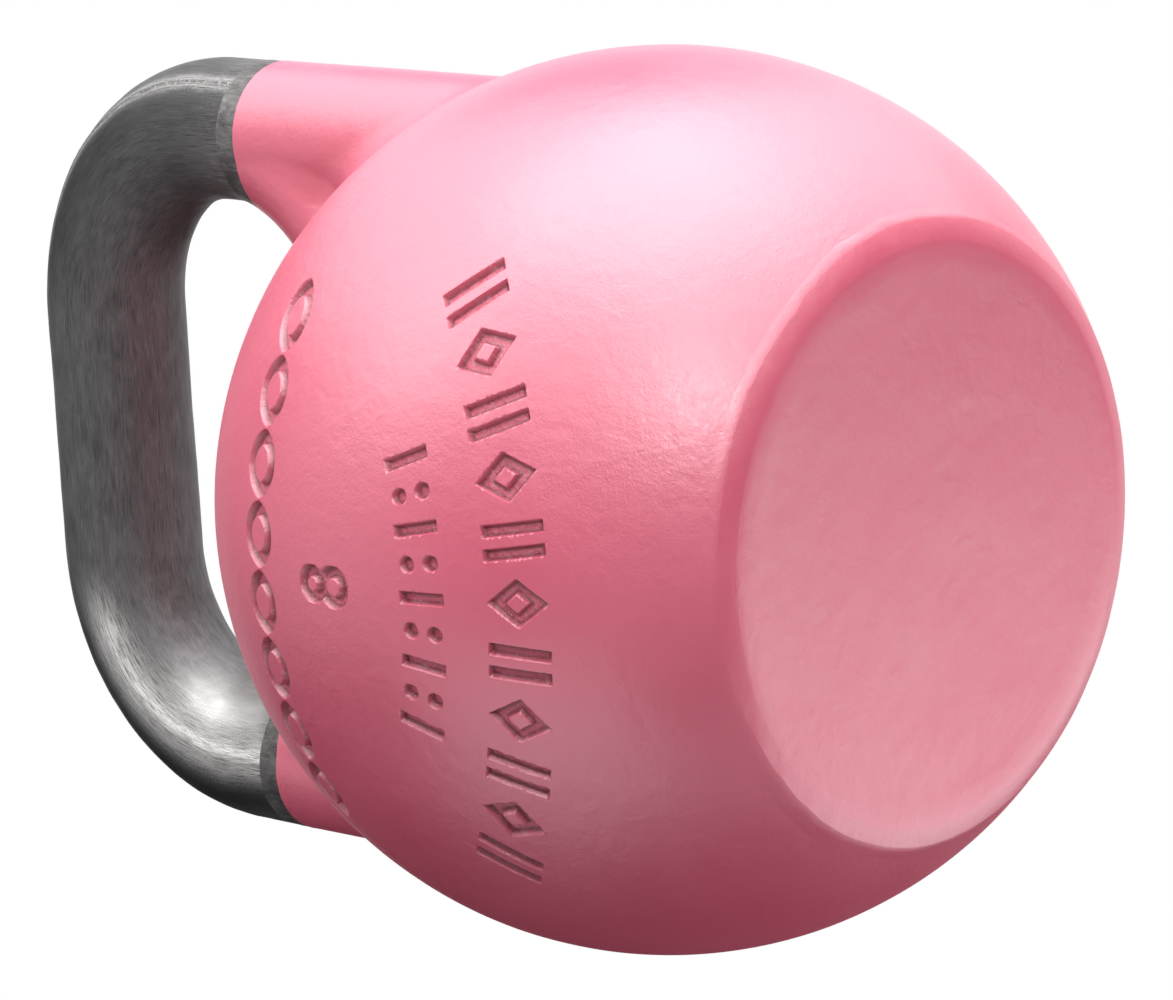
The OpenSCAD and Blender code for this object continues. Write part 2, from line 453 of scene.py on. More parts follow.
def snap_to_marks(points, reach):
    """Moves points close to a mark's lip or foot onto it, so that both are clean lines in the mesh."""
    points = points.copy()
    distance = mark_distance(points)
    for level in (MARK_LIP, MARK_FOOT):
        near = np.abs(distance - level) < reach
        some = points[near]
        for _ in range(2):
            small = 0.02
            here = mark_distance(some)
            slope = np.zeros_like(some)
            for axis in (0, 2):
                step = np.zeros(3)
                step[axis] = small
                slope[:, axis] = (mark_distance(some + step) - mark_distance(some - step)) / (2 * small)
            length = np.maximum(np.sum(slope * slope, axis=1), 0.3)
            some = some - slope * np.clip((here - level) / length, -reach, reach)[:, None]
            some = project(some, body_field, 1)
        points[near] = some
    return points


# ---------------------------------------------------------------- pieces

def cut_flat(bm, z, keep_above):
    """Cuts the mesh at a height and drops what is on the other side."""
    bmesh.ops.bisect_plane(
        bm, geom=bm.verts[:] + bm.edges[:] + bm.faces[:], dist=0.02 * MM,
        plane_co=(0, 0, z * MM), plane_no=(0, 0, 1), clear_inner=keep_above, clear_outer=not keep_above)


def loops_of(edges):
    """Closed chains of vertices from a set of edges."""
    links = {}
    for edge in edges:
        a, b = edge.verts
        links.setdefault(a, []).append(b)
        links.setdefault(b, []).append(a)
    left = set(links)
    loops = []
    while left:
        start = min(left, key=lambda v: v.index)
        chain = [start]
        left.discard(start)
        step = next((v for v in links[start] if v in left), None)
        while step:
            chain.append(step)
            left.discard(step)
            step = next((v for v in links[step] if v in left), None)
        loops.append(chain)
    return loops


def line_inside(bm, loop, centre_x, profile):
    """Closes an open edge with rings that follow it. Profile is (radius, z), and the last ring is capped."""
    angles = [math.atan2(v.co.y, v.co.x - centre_x * MM) for v in loop]
    previous = loop
    for radius, z in profile:
        ring = [bm.verts.new(((centre_x + radius * math.cos(a)) * MM, radius * math.sin(a) * MM, z * MM))
                for a in angles]
        for i in range(len(ring)):
            j = (i + 1) % len(ring)
            bm.faces.new((previous[i], previous[j], ring[j], ring[i])).smooth = True
        previous = ring
    bm.faces.new(previous)


def cavity_profile():
    """The inside of the shell, from the groove at the foot to near the top of the hollow."""
    inner_r = BALL_R - WALL
    profile = [(PLATE_R, GROOVE_Z), (PLATE_R, PLATE_T), (OPENING_R, PLATE_T), (OPENING_R, RIM_TOP)]
    start = math.acos((BALL_Z - RIM_TOP) / inner_r)
    for angle in np.linspace(start, math.radians(178.5), 34):
        profile.append((inner_r * math.sin(angle), BALL_Z - inner_r * math.cos(angle)))
    return profile


def make_ball_shell():
    low = (-BALL_R - 3, -BALL_R - 3, LIP_Z - 4)
    high = (BALL_R + 3, BALL_R + 3, HORN_TOP + 4)
    verts, quads = surface_net(body_field, low, high, GRID_STEP)
    used = np.unique(quads)
    remap = np.full(len(verts), -1)
    remap[used] = np.arange(len(used))
    verts, quads = verts[used], remap[quads]
    open_edge = (verts[:, 2] < LIP_Z - 2) | (verts[:, 2] > HORN_TOP + 2)
    fixed = verts.copy()
    verts = relax(verts, quads, body_field, 10)
    verts[open_edge] = fixed[open_edge]
    shell = new_object("ball_shell_detail", verts, quads)

    bm = bmesh.new()
    bm.from_mesh(shell.data)
    cut_flat(bm, LIP_Z, True)
    cut_flat(bm, HORN_TOP, False)
    bm.edges.index_update()

    centres = np.array([f.calc_center_median() for f in bm.faces]) / MM
    near = mark_distance(centres) < 2.2
    edges = {edge for face, is_near in zip(bm.faces, near) if is_near for edge in face.edges}
    edges = sorted(edges, key=lambda e: e.index)
    bmesh.ops.subdivide_edges(bm, edges=edges, cuts=FINE_CUTS, use_grid_fill=True)

    points = np.array([v.co for v in bm.verts]) / MM
    rim = np.array([v.is_boundary for v in bm.verts])
    on_surface = np.where(rim[:, None], points, project(points, body_field, 2))
    on_surface = snap_to_marks(on_surface, 0.5 * GRID_STEP / (FINE_CUTS + 1))
    distance = mark_distance(on_surface)
    depth = np.clip((MARK_LIP - distance) / (MARK_LIP - MARK_FOOT), 0, 1)
    depth = depth * depth * (3 - 2 * depth)
    grain = waves(on_surface, 1.5, 24, 3) * 0.07 + waves(on_surface, 4.0, 12, 4) * 0.08
    swell = 0.07 + 0.05 * waves(on_surface, 46.0, 10, 5) + 0.02 * waves(on_surface, 15.0, 14, 6)
    inward = depth * (MARK_DEPTH + grain) + np.clip(swell, 0, 0.2) * ~rim
    radial = on_surface - BALL_CENTRE
    radial /= np.linalg.norm(radial, axis=1)[:, None]
    moved = on_surface - radial * inward[:, None]
    for vert, co in zip(bm.verts, moved * MM):
        vert.co = co
    # Painted shade: how strongly the corner at the foot of each mark's wall is coloured dark.
    corner = np.exp(-((distance - MARK_FOOT) / MARK_SHADE_REACH) ** 2)
    for name, values in (("mark_depth", depth), ("mark_shade", corner)):
        layer = bm.verts.layers.float.new(name)
        for vert, value in zip(bm.verts, values):
            vert[layer] = value
    for face in bm.faces:
        face.smooth = True

    bm.verts.index_update()
    for loop in loops_of([edge for edge in bm.edges if edge.is_boundary]):
        if loop[0].co.z < BALL_Z * MM:
            line_inside(bm, loop, 0, cavity_profile())
        else:
            side = 1 if loop[0].co.x > 0 else -1
            line_inside(bm, loop, side * LEG_X, [(SOCKET_R, HORN_TOP), (SOCKET_R, SOCKET_FOOT)])
    bmesh.ops.recalc_face_normals(bm, faces=bm.faces)
    bm.to_mesh(shell.data)
    bm.free()
    mark_sharp(shell, 60)
    return shell


def handle_path():
    """Centre, direction and radius of each ring, from the left spigot's foot to the right one's."""
    leg = [(SPIGOT_FOOT, SPIGOT_R), (WELD_ROOT - 1, SPIGOT_R), (WELD_ROOT, SPIGOT_R), (WELD_TOP, GRIP_R)]
    rows = [((-LEG_X, z), (0, 1), radius) for z, radius in leg]
    rows += [((-LEG_X, z), (0, 1), GRIP_R) for z in np.linspace(WELD_TOP, BEND_Z, 9)[1:]]
    for angle in np.linspace(0, math.pi / 2, 61)[1:]:
        centre = (-BAR_HALF - BEND_R * math.cos(angle), BEND_Z + BEND_R * math.sin(angle))
        rows.append((centre, (math.sin(angle), math.cos(angle)), GRIP_R))
    for x in np.linspace(-BAR_HALF, 0, 20)[1:]:
        rows.append(((x, GRIP_Z), (1, 0), GRIP_R))
    mirrored = [((-x, z), (dx, -dz), radius) for (x, z), (dx, dz), radius in rows[-2::-1]]
    return rows + mirrored


def make_handle():
    """The bent bar, with the faint seam of its mould along the outside of the bends."""
    rows = handle_path()
    segments = 240
    around = np.linspace(0, 2 * math.pi, segments, endpoint=False)
    verts = []
    along = []
    looks = {"grind": [], "highlight_patch": [], "painted_shade": []}
    run = 0.0
    last = rows[0][0]
    for (x, z), (dx, dz), radius in rows:
        run += math.hypot(x - last[0], z - last[1])
        last = (x, z)
        along.append(run)
        out = np.array([-dz, 0, dx])
        side = np.array([0, -1, 0])
        circle = np.cos(around)[:, None] * out + np.sin(around)[:, None] * side
        ring = np.array([x, 0, z]) + radius * circle
        if radius == GRIP_R:
            if z < FLARE_Z:
                ring = out_to_leg(ring, math.copysign(1, x))
            ring = handle_surface(ring, np.array([x, 0, z]), around, (x, z))
        verts.append(ring)
        looks["grind"].append(ground_amount(around, (x, z)))
        looks["highlight_patch"].append(painted_highlight_amount(around, (x, z)))
        looks["painted_shade"].append(painted_shade_amount(around, (x, z)))
    faces = ring_faces(len(rows), segments) + end_faces(len(rows), segments)
    handle = new_object("handle_detail", np.concatenate(verts), faces)
    add_bar_uv(handle, along, segments)
    for name, values in looks.items():
        layer = handle.data.attributes.new(name, "FLOAT", "POINT")
        layer.data.foreach_set("value", np.concatenate(values))
    recalc_normals(handle)
    mark_sharp(handle, 40)
    return handle


def bend_amount(place):
    """0 on the straight of the grip, 1 on its bends and legs."""
    return min(1.0, max(0.0, (abs(place[0]) - BAR_HALF) / 20))


def seam_of(place):
    return LEFT_SEAM if place[0] < 0 else RIGHT_SEAM


def from_seam(around, place):
    """Distance round the bar from the seam."""
    return np.angle(np.exp(1j * (around - seam_of(place)[0]))) * GRIP_R


def handle_surface(ring, centre, around, place):
    """Hand-ground unevenness, and the seam along the bends. Both only take metal away."""
    away = ring - centre
    radius = np.linalg.norm(away, axis=1)
    uneven = 0.16 + 0.09 * waves(ring, 22.0, 8, 11) + 0.04 * waves(ring, 8.0, 10, 12)
    width, proud = seam_of(place)[1:3]
    distance = from_seam(around, place)
    seam = np.exp(-(distance / width) ** 2)
    flat = np.exp(-(distance / (4 * width)) ** 2)
    inward = np.clip(uneven, 0, 0.4) + bend_amount(place) * proud * (flat - seam)
    scale = 1 - np.maximum(inward, 0) / radius
    return centre + away * scale[:, None]


def ground_amount(around, place):
    """How coarsely the bar is ground: most along the seam and just above each paint line."""
    along_seam = np.exp(-(from_seam(around, place) / seam_of(place)[3]) ** 2) * bend_amount(place)
    at_weld = math.exp(-((place[1] - WELD_TOP) / 11) ** 2) if place[1] > WELD_TOP else 1.0
    return np.maximum(along_seam, 0.3 * at_weld)


def painted_highlight_amount(around, place):
    """Painted highlight: the face of the left bend that is coloured light where it catches the lamps, and
    made smoother and more metallic there.
    """
    turn = np.angle(np.exp(1j * (around - HIGHLIGHT_TURN)))
    along = math.exp(-((place[1] - HIGHLIGHT_Z) / HIGHLIGHT_REACH) ** 2)
    return np.exp(-(turn / HIGHLIGHT_SPREAD) ** 2) * along * (place[0] < 0)


def painted_shade_amount(around, place):
    """Painted shade: steel coloured dark outside the left bend's seam, where that bend turns from the light,
    and beside the right one's, where that bend would catch a highlight, with a thin dark line along the
    right seam.
    """
    bands = ((1, LEFT_SHADE_BAND),) if place[0] < 0 else ((1, RIGHT_DARK_LINE), (0.75, RIGHT_SHADE_BAND))
    distance = from_seam(around, place)
    amounts = [amount * np.exp(-((distance - middle) / reach) ** 2) for amount, (middle, reach) in bands]
    return np.max(amounts, axis=0) * bend_amount(place)


def add_bar_uv(piece, along, segments):
    """UVs in centimetres: u runs round the bar, v along it."""
    layer = piece.data.uv_layers.new(name="bar")
    for polygon in piece.data.polygons:
        if polygon.loop_total != 4:
            continue
        columns = [piece.data.loops[i].vertex_index % segments for i in polygon.loop_indices]
        wraps = max(columns) - min(columns) > 1
        for i, column in zip(polygon.loop_indices, columns):
            row = piece.data.loops[i].vertex_index // segments
            turn = column + segments if wraps and column == 0 else column
            layer.data[i].uv = (turn / segments * 2 * math.pi * GRIP_R / 10, along[row] / 10)


def make_handle_weld(side, name):
    """The ring of weld that is ground flush under the grip, coarser than the bar."""
    surface = [(GRIP_R, z) for z in np.linspace(HORN_TOP, WELD_TOP, 13)]
    profile = [(SPIGOT_R, HORN_TOP)] + surface + [(SPIGOT_R, WELD_ROOT)]
    ring = lathe(name, profile, segments=240)
    co = get_points(ring)
    outer = np.hypot(co[:, 0], co[:, 1]) > GRIP_R - 0.5
    inner_rows = outer & (co[:, 2] > HORN_TOP + 0.1) & (co[:, 2] < WELD_TOP - 0.1)
    co[:, 0] += side * LEG_X
    co[outer] = out_to_leg(co[outer], side)
    shift = 0.12 + 0.05 * waves(co, 3.4, 18, 21) + 0.08 * waves(co, 9.0, 10, 22)
    amount = np.where(inner_rows, np.clip(shift, 0, 0.3), np.where(outer, 0.12, 0))
    away = co - (side * LEG_X, 0, 0)
    away[:, 2] = 0
    co -= away * (amount / np.linalg.norm(away, axis=1))[:, None]
    set_points(ring, co)
    recalc_normals(ring)
    mark_sharp(ring, 40)
    return ring


def make_base_plate():
    """The shallow dish of the foot, with the faint unevenness of its pressing and paint."""
    radii = np.linspace(0.0, 1.0, 61)[1:-1] * PLATE_FOOT_R
    curve_r = (DISH_R ** 2 + DISH_DEPTH ** 2) / (2 * DISH_DEPTH)
    hollow = [(r, max(0.0, math.sqrt(curve_r ** 2 - r ** 2) - curve_r + DISH_DEPTH)) for r in radii]
    profile = hollow + [(PLATE_FOOT_R, 0.0), (PLATE_R, GROOVE_Z), (PLATE_R, PLATE_T)]
    plate = lathe("base_plate_detail", profile, segments=240, closed=False)
    co = get_points(plate)
    face = co[:, 2] < DISH_DEPTH + 0.5
    edge = np.clip((PLATE_FOOT_R - np.hypot(co[:, 0], co[:, 1])) / 8, 0, 1)
    lift = 0.1 + 0.08 * waves(co, 34.0, 10, 31) + 0.03 * waves(co, 11.0, 14, 32)
    co[face, 2] += (np.clip(lift, 0, 0.3) * edge)[face]
    set_points(plate, co)
    recalc_normals(plate)
    mark_sharp(plate, 25)
    return plate


def make_base_weld():
    """The dressed weld round the foot: a rounded bevel whose outer edge wanders a little over the ball."""
    segments = 480
    around = np.linspace(0, 2 * math.pi, segments, endpoint=False)
    circle = np.stack([np.cos(around), np.sin(around), np.zeros(segments)], 1) * LIP_R
    wander = 0.35 * waves(circle, 30.0, 9, 41) + 0.2 * waves(circle, 9.0, 10, 42)
    proud = np.clip(0.05 + 0.05 * waves(circle, 16.0, 10, 43), 0.01, 0.15)
    ground_back = -GROUND_BACK * np.clip(np.cos(around - GROUND_TURN), 0, 1) ** 2
    edge = LIP_R + wander + ground_back
    edge_z = BALL_Z - np.sqrt(BALL_R ** 2 - edge ** 2)
    rows = []
    for part in np.linspace(0, 1, 19):
        radius = FOOT_R + (edge - FOOT_R) * part
        z = edge_z * (EDGE_SLOPE * part + (1 - EDGE_SLOPE) * part ** 2)
        rows.append((radius, z - proud * part ** 3))
    for past, cover in ((0.7, 0.8), (1.3, 0.35), (PAST_EDGE, -1.2)):
        radius = LIP_R + past + wander + ground_back * (1 - past / PAST_EDGE)
        rows.append((radius, BALL_Z - np.sqrt(BALL_R ** 2 - radius ** 2) - proud * cover))
    for radius, z in ((LIP_R + 0.6, LIP_Z + 2.0), (PLATE_R, GROOVE_Z), (PLATE_FOOT_R, 0.0)):
        rows.append((np.full(segments, radius), np.full(segments, z)))
    verts = []
    for radius, z in rows:
        level = np.broadcast_to(z, segments)
        verts.append(np.stack([radius * np.cos(around), radius * np.sin(around), level], 1))
    weld = new_object("base_weld_detail", np.concatenate(verts), ring_faces(len(rows), segments, True))
    recalc_normals(weld)
    mark_sharp(weld, 40)
    return weld


# ---------------------------------------------------------------- materials

class Nodes:
    """Short calls for building one material's node tree."""

    def __init__(self, name):
        self.material = bpy.data.materials.new(name)
        self.material.use_nodes = True
        self.tree = self.material.node_tree
        self.shader = self.tree.nodes["Principled BSDF"]

    def add(self, kind, settings=None, **inputs):
        node = self.tree.nodes.new(kind)
        for key, value in (settings or {}).items():
            setattr(node, key, value)
        for key, value in inputs.items():
            self.put(node.inputs[key.replace("_", " ")], value)
        return node

    def put(self, socket, value):
        if isinstance(value, bpy.types.NodeSocket):
            self.tree.links.new(value, socket)
        else:
            socket.default_value = value

    def noise(self, vector, scale, detail=4.0, roughness=0.55, distortion=0.0):
        node = self.add("ShaderNodeTexNoise", Vector=vector, Scale=scale, Detail=detail,
                        Roughness=roughness, Distortion=distortion)
        return node.outputs["Fac"]

    def ramp(self, value, low, high, to_low=0.0, to_high=1.0):
        node = self.add("ShaderNodeMapRange", Value=value)
        for key, number in (("From Min", low), ("From Max", high), ("To Min", to_low), ("To Max", to_high)):
            node.inputs[key].default_value = number
        return node.outputs["Result"]

    def math(self, operation, a, b=0.0):
        node = self.tree.nodes.new("ShaderNodeMath")
        node.operation = operation
        self.put(node.inputs[0], a)
        self.put(node.inputs[1], b)
        return node.outputs[0]

    def mix(self, factor, a, b):
        node = self.tree.nodes.new("ShaderNodeMix")
        node.data_type = "RGBA"
        self.put(node.inputs["Factor"], factor)
        self.put(node.inputs["A"], a)
        self.put(node.inputs["B"], b)
        return node.outputs["Result"]

    def stretched(self, source, scale):
        node = self.add("ShaderNodeMapping", Vector=source)
        node.inputs["Scale"].default_value = scale
        return node.outputs["Vector"]

    def bump(self, height, distance, strength=1.0, normal=None):
        node = self.add("ShaderNodeBump", Height=height, Distance=distance, Strength=strength)
        if normal is not None:
            self.put(node.inputs["Normal"], normal)
        return node.outputs["Normal"]

    def attribute(self, name):
        return self.add("ShaderNodeAttribute", {"attribute_name": name}).outputs["Fac"]

    def place(self):
        return self.add("ShaderNodeTexCoord").outputs["Object"]

    def set(self, **inputs):
        for key, value in inputs.items():
            self.put(self.shader.inputs[key.replace("_", " ")], value)


PINK = (0.81, 0.12, 0.21, 1)
PINK_DEEP = (0.70, 0.085, 0.16, 1)
# Painted shade: the dark maroon put in the inner corners of the recesses.
RECESS_SHADE = (0.24, 0.015, 0.045, 1)
GROUND_TINT = (0.17, 0.15, 0.15, 1)
# Painted highlight: the light steel colour put on the lit face of the left bend.
HIGHLIGHT_STEEL = (0.62, 0.61, 0.6, 1)
SCRATCH = (0.9, 0.89, 0.88, 1)
# Painted shade: the near-black steel colour put beside the seams.
SHADE_STEEL = (0.035, 0.033, 0.033, 1)
SPECK = (0.66, 0.65, 0.64, 1)
STEEL_EDGE = (0.4, 0.4, 0.4, 1)
WELD_GRIND = 0.35


def enamel(name, peel, speck, clouding, recess):
    """Satin pink enamel on a casting: patches of fine wrinkles, faint clouding, and grainy recesses, with
    painted shade in their floors and inner corners.
    """
    n = Nodes(name)
    place = n.place()
    cloud = n.noise(place, 28.0, 3.0)
    patch = n.ramp(n.noise(place, 16.0, 2.0), 0.42, 0.62, 0.25, 1.0)
    fine = n.noise(place, 900.0, 3.0, 0.6)
    skin = n.noise(place, 210.0, 2.0, 0.5, 0.4)
    wrinkle = n.noise(place, 1150.0, 2.0, 0.5, 1.2)
    colour = n.mix(n.ramp(cloud, 0.3, 0.7, clouding, 0.0), PINK, PINK_DEEP)
    rough = n.math("ADD", n.ramp(cloud, 0.3, 0.7, 0.38, 0.45), n.ramp(fine, 0.3, 0.7, -0.04, 0.04))
    normal = n.bump(skin, 2 * peel)
    normal = n.bump(wrinkle, peel, patch, normal)
    normal = n.bump(fine, speck, 1.0, normal)
    if recess:
        depth = n.attribute("mark_depth")
        shade_grain = n.noise(place, 1500.0, 4.0, 0.7)
        grain = n.math("MULTIPLY", n.noise(place, 800.0, 5.0, 0.7), depth)
        normal = n.bump(grain, 0.0005, 1.0, normal)
        # Painted shade: the recess floors are coloured deeper pink by their depth, broken up by a grain.
        colour = n.mix(n.math("MULTIPLY", depth, n.ramp(shade_grain, 0.4, 0.7, 0.0, 0.6)), colour, PINK_DEEP)
        # Painted shade: the inner corners of the recesses are coloured dark maroon.
        corner = n.attribute("mark_shade")
        colour = n.mix(n.math("MULTIPLY", corner, 0.85), colour, RECESS_SHADE)
    n.set(Base_Color=colour, Roughness=rough, Normal=normal, Specular_IOR_Level=1.0, IOR=1.8)
    return n.material


def steel_colour(n, streaks, mottle, smear, dark, light, ground):
    """Brushed steel between its dark and its light colour, tinted where it is ground."""
    shade = n.math("ADD", n.math("MULTIPLY", streaks, 0.5), n.math("MULTIPLY", mottle, 0.2))
    shade = n.math("ADD", shade, n.math("MULTIPLY", smear, 0.3))
    return n.mix(ground, n.mix(n.ramp(shade, 0.4, 0.6), dark, light), GROUND_TINT)


def steel_bumps(n, streaks, streak_depth, grit, grit_strength, smear, mottle):
    normal = n.bump(streaks, streak_depth)
    normal = n.bump(grit, 0.00014, grit_strength, normal)
    normal = n.bump(smear, 0.00012, 1.0, normal)
    return n.bump(mottle, 0.0003, 1.0, normal)


def bar_steel(name, dark, light):
    """The bar: brushed along its length, scratched at the seams, with a painted highlight on the left bend
    and painted shade beside the seams.
    """
    n = Nodes(name)
    place = n.place()
    uv = n.add("ShaderNodeUVMap", {"uv_map": "bar"}).outputs["UV"]
    streaks = n.noise(n.stretched(uv, (7.0, 0.3, 1.0)), 5.0, 6.0, 0.62, 0.15)
    smear = n.noise(n.stretched(uv, (1.0, 0.3, 1.0)), 3.0, 5.0, 0.65, 0.8)
    mottle = n.noise(place, 45.0, 5.0, 0.6, 0.8)
    grit = n.noise(place, 1500.0, 3.0, 0.7)
    grind = n.attribute("grind")
    highlight_patch = n.attribute("highlight_patch")
    colour = steel_colour(n, streaks, mottle, smear, dark, light, n.math("MULTIPLY", grind, 0.5))
    # Painted highlight: the lit face of the left bend is coloured light.
    highlight_mix = n.math("MULTIPLY", highlight_patch, n.ramp(smear, 0.3, 0.7, 0.7, 1.0))
    colour = n.mix(highlight_mix, colour, HIGHLIGHT_STEEL)
    deep_grind = n.math("MULTIPLY", grind, grind)
    scratched = n.math("MULTIPLY", deep_grind, n.ramp(streaks, 0.36, 0.54))
    colour = n.mix(scratched, colour, SCRATCH)
    # Painted shade: dark steel beside the seams, and a thin dark line along the right one.
    colour = n.mix(n.math("MULTIPLY", n.attribute("painted_shade"), 0.85), colour, SHADE_STEEL)
    speckle = n.math("MULTIPLY", n.ramp(grit, 0.5, 0.66), n.math("MULTIPLY", deep_grind, 0.6))
    colour = n.mix(speckle, colour, SPECK)
    rough = n.math("ADD", n.ramp(mottle, 0.3, 0.7, 0.4, 0.48), n.math("MULTIPLY", highlight_patch, -0.1))
    normal = steel_bumps(n, streaks, 0.0001, grit, n.math("MULTIPLY", grind, 0.8), smear, mottle)
    n.set(Base_Color=colour, Metallic=n.ramp(highlight_patch, 0.0, 1.0, 0.4, 0.8), Roughness=rough, Normal=normal,
          Specular_Tint=STEEL_EDGE, Specular_IOR_Level=0.15)
    return n.material


def weld_steel(name, dark, light):
    """A ground weld: short streaks and an even grit."""
    n = Nodes(name)
    place = n.place()
    streaks = n.noise(n.stretched(place, (1.0, 1.0, 0.35)), 620.0, 5.0, 0.65, 0.6)
    smear = n.noise(place, 160.0, 4.0, 0.6, 1.0)
    mottle = n.noise(place, 45.0, 5.0, 0.6, 0.8)
    grit = n.noise(place, 1500.0, 3.0, 0.7)
    colour = steel_colour(n, streaks, mottle, smear, dark, light, 0.5 * WELD_GRIND)
    colour = n.mix(n.ramp(grit, 0.5, 0.66, 0.0, 0.6 * WELD_GRIND ** 2), colour, SPECK)
    normal = steel_bumps(n, streaks, 0.00012, grit, 0.8 * WELD_GRIND, smear, mottle)
    n.set(Base_Color=colour, Metallic=0.5, Roughness=n.ramp(mottle, 0.3, 0.7, 0.375, 0.455), Normal=normal,
          Specular_Tint=STEEL_EDGE, Specular_IOR_Level=0.15)
    return n.material


def plain_steel(name, dark, light, rough, scale):
    """Steel that is hidden inside the ball: mill scale or zinc."""
    n = Nodes(name)
    cloud = n.noise(n.place(), scale, 6.0, 0.65, 0.5)
    n.set(Base_Color=n.mix(n.ramp(cloud, 0.35, 0.65), dark, light), Metallic=1.0,
          Roughness=n.ramp(cloud, 0.3, 0.7, rough - 0.08, rough + 0.08), Normal=n.bump(cloud, 0.0002))
    return n.material


def pad_rubber(name):
    n = Nodes(name)
    grain = n.noise(n.place(), 900.0, 5.0, 0.7)
    colour = n.mix(grain, (0.012, 0.012, 0.012, 1), (0.03, 0.03, 0.03, 1))
    n.set(Base_Color=colour, Roughness=n.ramp(grain, 0.3, 0.7, 0.75, 0.9), Normal=n.bump(grain, 0.0002))
    return n.material


def wear(piece, material):
    piece.data.materials.clear()
    piece.data.materials.append(material)


# ---------------------------------------------------------------- stage, light and camera

# Metres. Between the two glow distances the floor turns into white backdrop, past the reach of the lights.
FLOOR_SIZE = 16
FLOOR_Z = -0.0008
FLOOR_GLOW_FROM = 0.3
FLOOR_GLOW_FULL = 2.5


def make_floor():
    """A pale floor that shows only from above, because the camera looks up at the foot from below it."""
    bpy.ops.mesh.primitive_plane_add(size=FLOOR_SIZE, location=(0, 0, FLOOR_Z))
    floor = bpy.context.object
    floor.name = "floor"
    n = Nodes("floor_paper")
    grain = n.noise(n.place(), 60.0, 4.0)
    away = n.add("ShaderNodeVectorMath", {"operation": "LENGTH"})
    n.put(away.inputs[0], n.place())
    glow = n.ramp(away.outputs["Value"], FLOOR_GLOW_FROM, FLOOR_GLOW_FULL)
    n.set(Base_Color=n.mix(grain, (0.80, 0.80, 0.80, 1), (0.84, 0.84, 0.84, 1)), Roughness=0.9,
          Emission_Color=(1, 1, 1, 1), Emission_Strength=glow)
    clear = n.add("ShaderNodeBsdfTransparent")
    choose = n.add("ShaderNodeMixShader")
    n.put(choose.inputs[0], n.add("ShaderNodeNewGeometry").outputs["Backfacing"])
    n.put(choose.inputs[1], n.shader.outputs[0])
    n.put(choose.inputs[2], clear.outputs[0])
    n.put(n.tree.nodes["Material Output"].inputs["Surface"], choose.outputs[0])
    wear(floor, n.material)
    floor.visible_shadow = False
    floor.visible_diffuse = False
    floor.visible_glossy = False
    floor.visible_transmission = False


ROOM_LIGHT = 0.01

# The large soft boxes stand at one distance. Each has a name, a direction from the ball and its watts.
SOFT_BOX_AWAY = 1.7
SOFT_BOX_SIZE = 1.5
SOFT_BOXES = (
    ("key", (1, 0, 0), 27),
    ("key_front", (0.75, -0.65, 0), 9.5),
    ("key_back", (0.75, 0.65, 0), 17),
    ("key_high", (0.7, 0, 0.7), 12),
    ("key_low", (0.7, 0, -0.7), 11.5),
    ("back", (0, 1, 0), 6.4),
    ("back_high", (0, 0.7, 0.7), 10),
    ("front_low", (0, -0.7, -0.7), 1.6),
    ("front_high", (0, -0.7, 0.7), 3.8),
    ("fill_front", (-0.7, -0.7, 0), 6.5),
    ("fill_low", (-0.7, 0, -0.7), 2.9),
    ("top", (0, 0, 1), 1.6),
)

# The small ones have their own distance and size in metres, before the power.
SMALL_BOXES = (
    ("key_corner", (0.58, -0.63, 0.51), 1.7, 0.8, 6),
    ("spot", (0.586, -0.516, -0.625), 2.0, 0.35, 9.5),
    ("foot", (-0.38, 0.44, -0.44), 0.48, 0.35, 0.8),
    ("horn", (0.62, -0.2, 0.42), 0.78, 0.6, 0.4),
)


def soft_box(name, direction, distance, size, watts):
    """A square studio light that shines on the ball's centre."""
    away = Vector(direction).normalized()
    light = bpy.data.lights.new(name, "AREA")
    light.shape = "SQUARE"
    light.size = size
    light.energy = watts
    lamp = bpy.data.objects.new(name, light)
    lamp.location = Vector((0, 0, BALL_Z * MM)) + away * distance
    lamp.rotation_euler = away.to_track_quat("Z", "Y").to_euler()
    lamp.visible_camera = False
    bpy.context.collection.objects.link(lamp)


def make_world():
    """White behind the object for the camera, and a dim room for its light and reflections."""
    world = bpy.data.worlds.new("studio")
    bpy.context.scene.world = world
    world.use_nodes = True
    tree = world.node_tree
    tree.nodes.clear()
    room = tree.nodes.new("ShaderNodeBackground")
    room.inputs["Strength"].default_value = ROOM_LIGHT
    room.inputs["Color"].default_value = (1, 1, 1, 1)
    white = tree.nodes.new("ShaderNodeBackground")
    white.inputs["Strength"].default_value = 1.0
    white.inputs["Color"].default_value = (1, 1, 1, 1)
    path = tree.nodes.new("ShaderNodeLightPath")
    choose = tree.nodes.new("ShaderNodeMixShader")
    tree.links.new(path.outputs["Is Camera Ray"], choose.inputs[0])
    tree.links.new(room.outputs[0], choose.inputs[1])
    tree.links.new(white.outputs[0], choose.inputs[2])
    out = tree.nodes.new("ShaderNodeOutputWorld")
    tree.links.new(choose.outputs[0], out.inputs["Surface"])


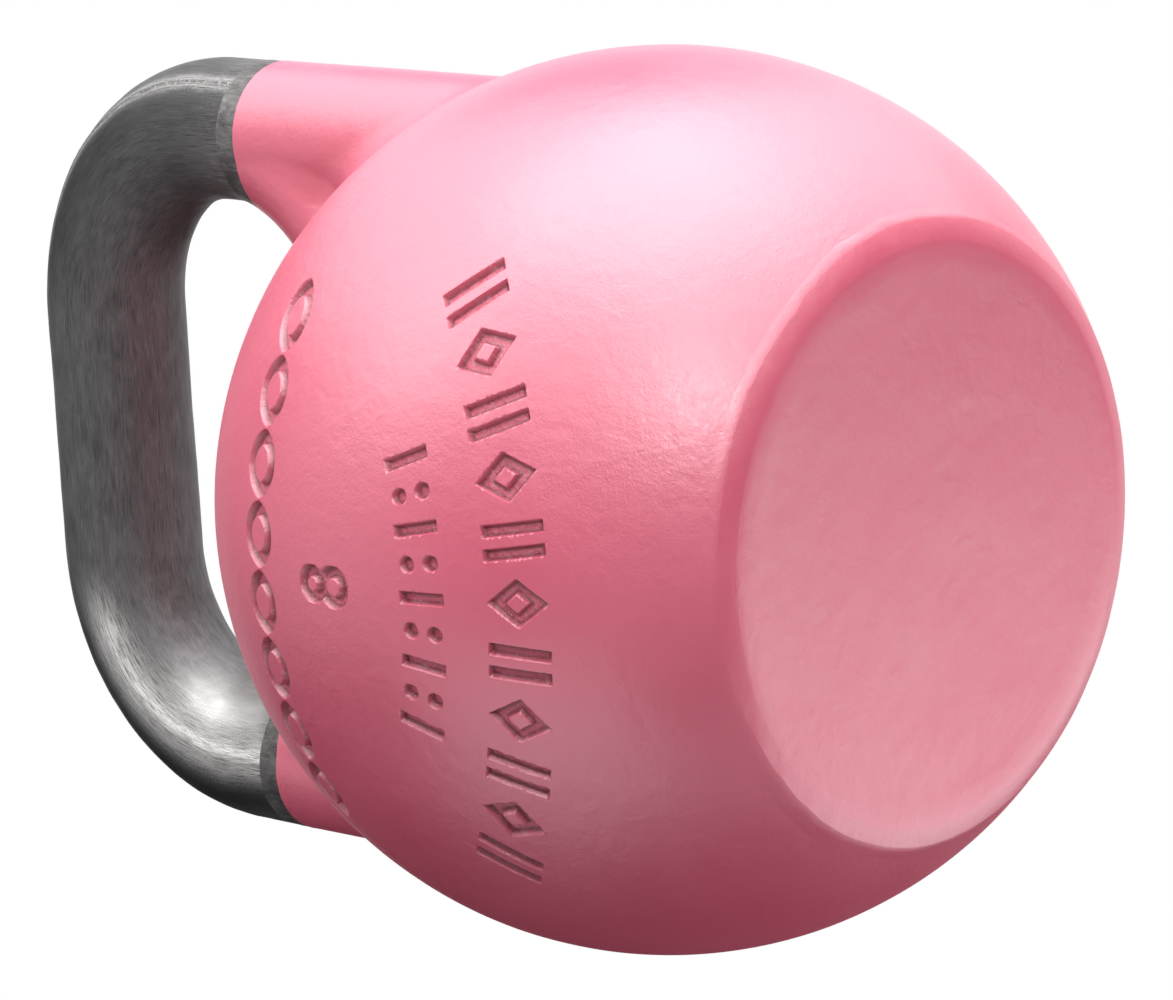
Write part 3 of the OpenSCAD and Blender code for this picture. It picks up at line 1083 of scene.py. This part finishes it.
def make_camera():
    """Looks up at the foot from in front, rolled so that the right horn points up."""
    azimuth, elevation, roll = (math.radians(a) for a in (16.34, -42.70, -82.01))
    distance = 1.3104
    aim = Vector((0.001, -0.0132, 0.0935))
    back = Vector((math.sin(azimuth) * math.cos(elevation), -math.cos(azimuth) * math.cos(elevation),
                   math.sin(elevation)))
    level_right = Vector((0, 0, 1)).cross(back).normalized()
    level_up = back.cross(level_right)
    right = level_right * math.cos(roll) + level_up * math.sin(roll)
    up = level_up * math.cos(roll) - level_right * math.sin(roll)
    camera = bpy.data.objects.new("camera", bpy.data.cameras.new("camera"))
    camera.data.sensor_width = 36
    camera.data.lens = 174.1
    camera.data.clip_start = 0.1
    camera.data.clip_end = 30
    turn = Matrix((right, up, back)).transposed().to_4x4()
    camera.matrix_world = Matrix.Translation(aim + back * distance) @ turn
    bpy.context.collection.objects.link(camera)
    bpy.context.scene.camera = camera


# ---------------------------------------------------------------- assembly

def place_piece(piece, node, material):
    wear(piece, material)
    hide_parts(node)
    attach(piece, "root")


shell_paint = enamel("ball_enamel", 0.00009, 0.00002, 0.25, True)
plate_paint = enamel("plate_enamel", 0.00008, 0.00002, 0.5, False)
weld_paint = enamel("weld_enamel", 0.00008, 0.00002, 0.25, False)
grip_steel = bar_steel("grip_steel", (0.085, 0.085, 0.087, 1), (0.18, 0.18, 0.183, 1))
ground_steel = weld_steel("ground_steel", (0.085, 0.082, 0.082, 1), (0.26, 0.255, 0.255, 1))

place_piece(make_ball_shell(), "ball_shell", shell_paint)
place_piece(make_handle(), "handle", grip_steel)
for side, word in ((-1, "left"), (1, "right")):
    weld = make_handle_weld(side, f"handle_weld_{word}_detail")
    place_piece(weld, f"handle_weld_{word}", ground_steel)
place_piece(make_base_plate(), "base_plate", plate_paint)
place_piece(make_base_weld(), "base_weld", weld_paint)

disc_steel = plain_steel("disc_steel", (0.16, 0.15, 0.15, 1), (0.3, 0.29, 0.29, 1), 0.55, 60.0)
zinc = plain_steel("zinc", (0.5, 0.5, 0.5, 1), (0.62, 0.62, 0.6, 1), 0.35, 220.0)
for node in ("ballast_disc_1", "ballast_disc_2"):
    wear(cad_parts[node], disc_steel)
for node in ("ballast_stud", "ballast_washer", "ballast_nut"):
    wear(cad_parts[node], zinc)
wear(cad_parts["ballast_pad"], pad_rubber("pad_rubber"))

make_floor()
make_world()
for name, direction, watts in SOFT_BOXES:
    soft_box(name, direction, SOFT_BOX_AWAY, SOFT_BOX_SIZE, watts)
for light in SMALL_BOXES:
    soft_box(*light)
make_camera()
bpy.context.scene.view_settings.view_transform = "Standard"
